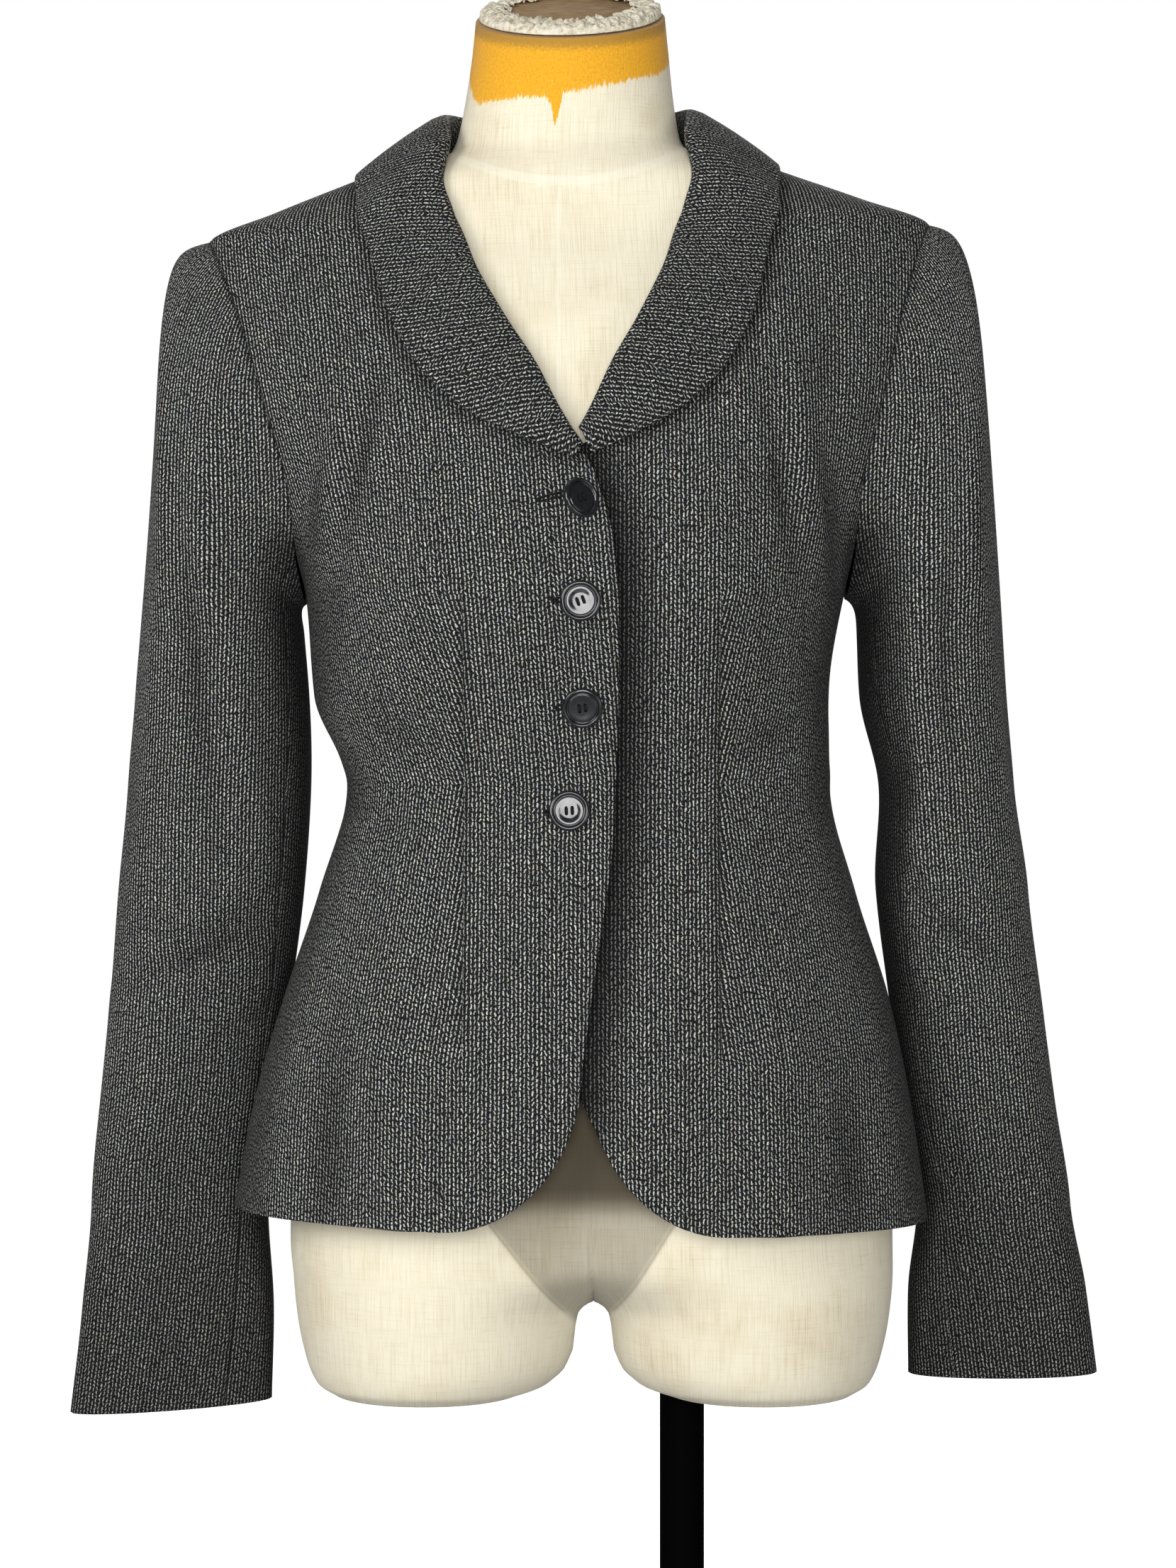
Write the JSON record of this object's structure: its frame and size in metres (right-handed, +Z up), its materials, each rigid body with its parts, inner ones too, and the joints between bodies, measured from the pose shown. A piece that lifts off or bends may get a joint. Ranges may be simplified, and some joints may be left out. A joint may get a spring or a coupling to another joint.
{
  "type": "wool blazer on a dress form",
  "caption": "Fitted wool blazer with a rounded shawl collar, buttoned front, curved cutaway hem and set-in sleeves, worn by a limbless linen dress form on a pole stand.",
  "frame": {"origin": "centre of the base plate's underside, on the floor", "axes": "+Z up, -Y the way the blazer's front faces, +X towards the wearer's left sleeve"},
  "size_m": [0.5884, 0.38, 1.2565],
  "materials": {
    "wool": "woven with pale flecks, matte",
    "black_button": "polished",
    "linen": "unbleached, matte",
    "neck_board": "raw board, matte",
    "black_steel": "satin black"
  },
  "bodies": {
    "root": {"front_right": "wool", "front_left": "wool", "back_right": "wool", "back_left": "wool", "collar_right": "wool", "collar_left": "wool", "sleeve_upper_right": "wool", "sleeve_under_right": "wool", "sleeve_upper_left": "wool", "sleeve_under_left": "wool", "button_1": "black_button", "button_2": "black_button", "button_3": "black_button", "button_4": "black_button", "form_torso": "linen", "neck_plate": "neck_board", "stand_pole": "black_steel", "stand_base": "black_steel"}
  },
  "joints": []
}
